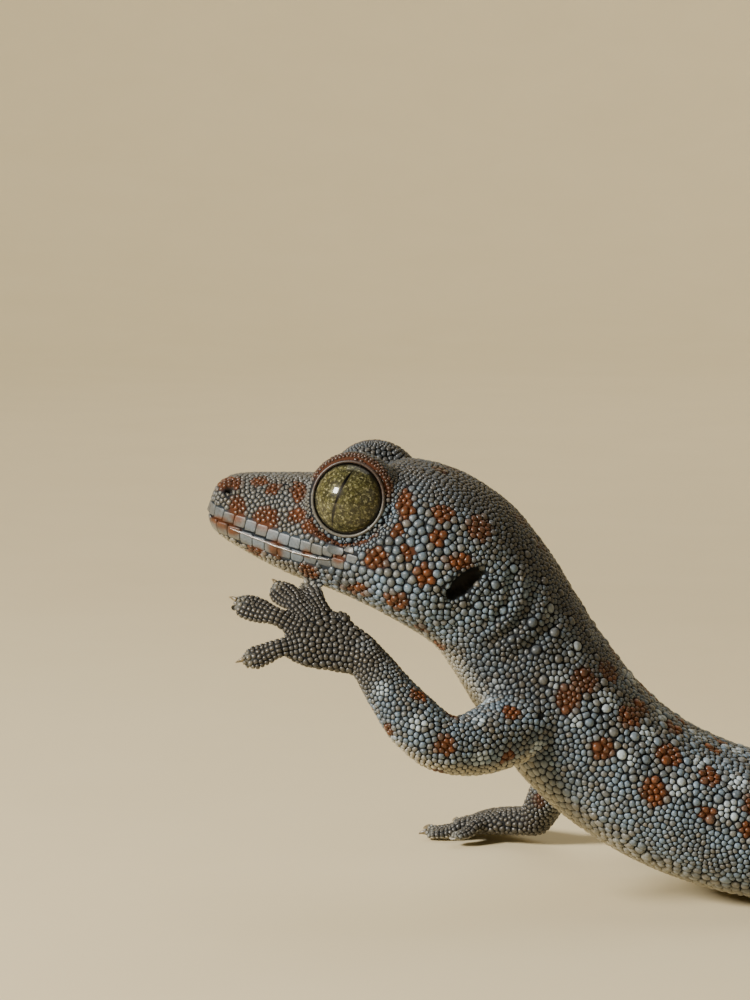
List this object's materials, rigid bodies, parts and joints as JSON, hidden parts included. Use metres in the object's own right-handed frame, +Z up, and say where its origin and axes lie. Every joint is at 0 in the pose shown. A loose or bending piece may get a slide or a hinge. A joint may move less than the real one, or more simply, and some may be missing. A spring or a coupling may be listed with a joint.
{
  "type": "tokay gecko",
  "caption": "Tokay gecko as a life-size still model: it rests on belly, tail, hind feet and one forefoot, with head raised and the other forefoot lifted.",
  "frame": {"origin": "centre of the bounding box at floor level, under the trunk", "axes": "-X is the way the gecko faces, -Y its left side, +Z up"},
  "size_m": [0.2582, 0.1264, 0.0716],
  "materials": {
    "skin": "blue-grey bead-like scales with orange spots, a soft satin sheen",
    "eye": "olive iris with a slit pupil under a wet, clear surface",
    "claw": "pale horn"
  },
  "bodies": {
    "root": {"head": "skin", "neck": "skin", "torso": "skin", "tail_base": "skin", "tail_middle": "skin", "tail_tip": "skin", "upper_arm_left": "skin", "forearm_left": "skin", "hand_left": "skin", "thigh_left": "skin", "shank_left": "skin", "foot_left": "skin", "upper_arm_right": "skin", "forearm_right": "skin", "hand_right": "skin", "thigh_right": "skin", "shank_right": "skin", "foot_right": "skin", "eye_left": "eye", "eye_right": "eye"}
  },
  "joints": []
}
